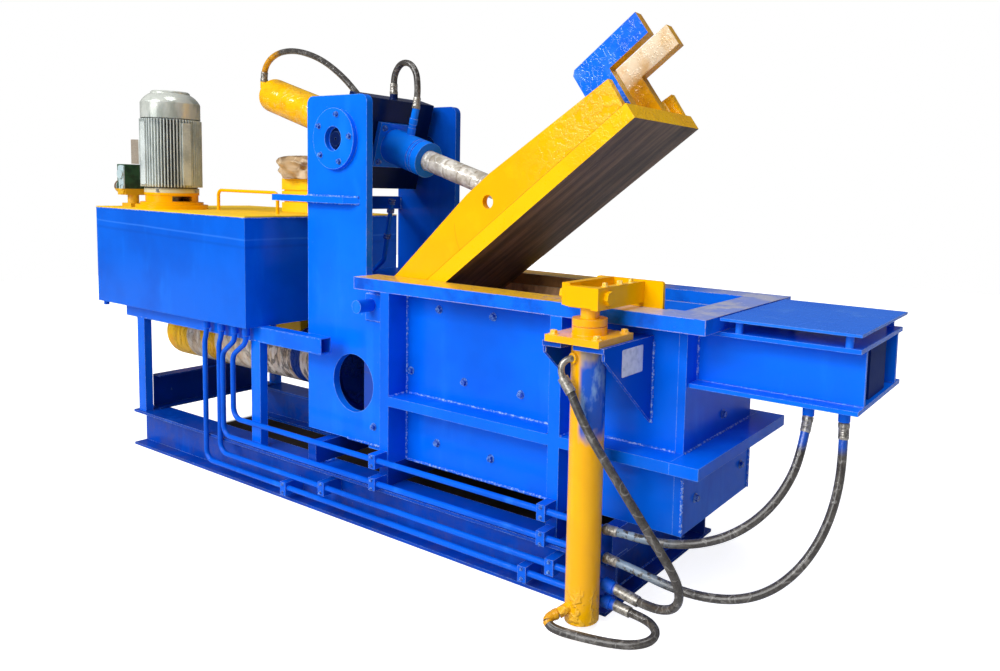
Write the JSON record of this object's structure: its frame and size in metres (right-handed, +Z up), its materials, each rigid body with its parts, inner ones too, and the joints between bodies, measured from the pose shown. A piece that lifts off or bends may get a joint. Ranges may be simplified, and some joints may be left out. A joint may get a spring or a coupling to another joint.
{
  "type": "recycling baler",
  "caption": "Horizontal hydraulic scrap baler: open chamber with hinged lid, main ram, bale lift, locking bolt, oil tank with motor and piping on a beam base.",
  "frame": {"origin": "on the floor under the middle of the front cross member, on the chamber's centre plane", "axes": "+X along the machine to its front, +Y to its far side, +Z up"},
  "size_m": [4.495, 1.1893, 2.346],
  "materials": {
    "blue": "gloss, worn at edges",
    "dark_blue": "gloss",
    "yellow": "gloss, dusty",
    "motor_green": "satin",
    "cream": "worn",
    "worn_steel": "rusty, streaked",
    "bright_steel": "satin",
    "chromed": "polished",
    "valve_body": "wrapped in paper",
    "relief_green": "gloss",
    "hose_cover": "wrapped in film"
  },
  "bodies": {
    "frame": {"base_beam_near": "blue", "base_beam_far": "blue", "base_cross_members": "blue", "rear_support": "dark_blue", "tank_stand_near": "blue", "tank_stand_far": "blue", "oil_tank": "blue", "tank_top": "yellow", "tank_handle": "yellow", "bell_housing": "yellow", "motor_housing": "motor_green", "motor_fan_cowl": "motor_green", "valve_manifold": "yellow", "directional_valves": "valve_body", "relief_valve": "relief_green", "tower_plate_near": "blue", "tower_plate_far": "blue", "trunnion_flange_near": "blue", "trunnion_flange_far": "blue", "tower_cross_plate": "blue", "chamber_wall_near": "blue", "chamber_wall_far": "blue", "chamber_front_wall": "blue", "chamber_floor": "blue", "chamber_rim": "blue", "lid_hinge_pin": "bright_steel", "main_cylinder": "yellow", "main_port_block": "yellow", "ejector_bracket": "blue", "ejector_cylinder": "yellow", "lock_housing": "blue", "lock_table": "blue", "lock_cylinder": "dark_blue", "hydraulic_pipes": "blue", "pipe_clamps": "blue", "hose_fittings": "bright_steel", "hose_lift_top": "hose_cover", "hose_lift_bottom": "hose_cover", "hose_lock_rear": "hose_cover", "hose_lock_front": "hose_cover"},
    "lid": {"lid_frame": "yellow", "lid_wear_plate": "worn_steel", "lid_tongue_near": "blue", "lid_tongue_far": "cream", "lid_rod_pin": "bright_steel"},
    "lid_cylinder": {"lid_cylinder_yoke": "blue", "lid_cylinder_barrel": "yellow", "lid_cylinder_gland": "blue", "hose_rear_cap": "hose_cover", "hose_gland": "hose_cover"},
    "lid_rod": {"lid_piston_rod": "chromed"},
    "ram": {"main_piston_rod": "chromed", "ram_head": "worn_steel"},
    "lift": {"ejector_rod": "chromed", "ejector_arm_front": "yellow", "ejector_arm_rear": "yellow", "ejector_pin": "yellow", "ejector_plate": "yellow"},
    "lock": {"lock_bolt": "worn_steel"},
    "rotor": {"motor_rotor": "bright_steel"}
  },
  "joints": [
    {"name": "lid_hinge", "type": "hinge", "parent": "frame", "child": "lid", "pos_m": [-1.388, 0, 1.03], "axis": [0, -1, 0], "range_deg": [-36.5, 0]},
    {"name": "lid_cylinder_trunnion", "type": "hinge", "parent": "frame", "child": "lid_cylinder", "pos_m": [-1.645, 0, 1.822], "axis": [0, -1, 0], "range_deg": [-19, 0.5]},
    {"name": "lid_rod_slide", "type": "slide", "parent": "lid_cylinder", "child": "lid_rod", "axis": [0.9593, 0, -0.2823], "range_m": [-0.002, 0.3845]},
    {"name": "main_ram_slide", "type": "slide", "parent": "frame", "child": "ram", "axis": [1, 0, 0], "range_m": [0, 1.09]},
    {"name": "ejector_slide", "type": "slide", "parent": "frame", "child": "lift", "axis": [0, 0, 1], "range_m": [0, 0.79]},
    {"name": "lock_slide", "type": "slide", "parent": "frame", "child": "lock", "axis": [-1, 0, 0], "range_m": [0, 0.15]},
    {"name": "motor_spin", "type": "hinge", "parent": "frame", "child": "rotor", "pos_m": [-3.087, -0.334, 1.7], "axis": [0, 0, 1], "continuous": true}
  ],
  "couplings": [
    {"joint": "lid_cylinder_trunnion", "follows": "lid_hinge", "ratio": 0.5122},
    {"joint": "lid_rod_slide", "follows": "lid_hinge", "m_per_rad": -0.59891}
  ]
}
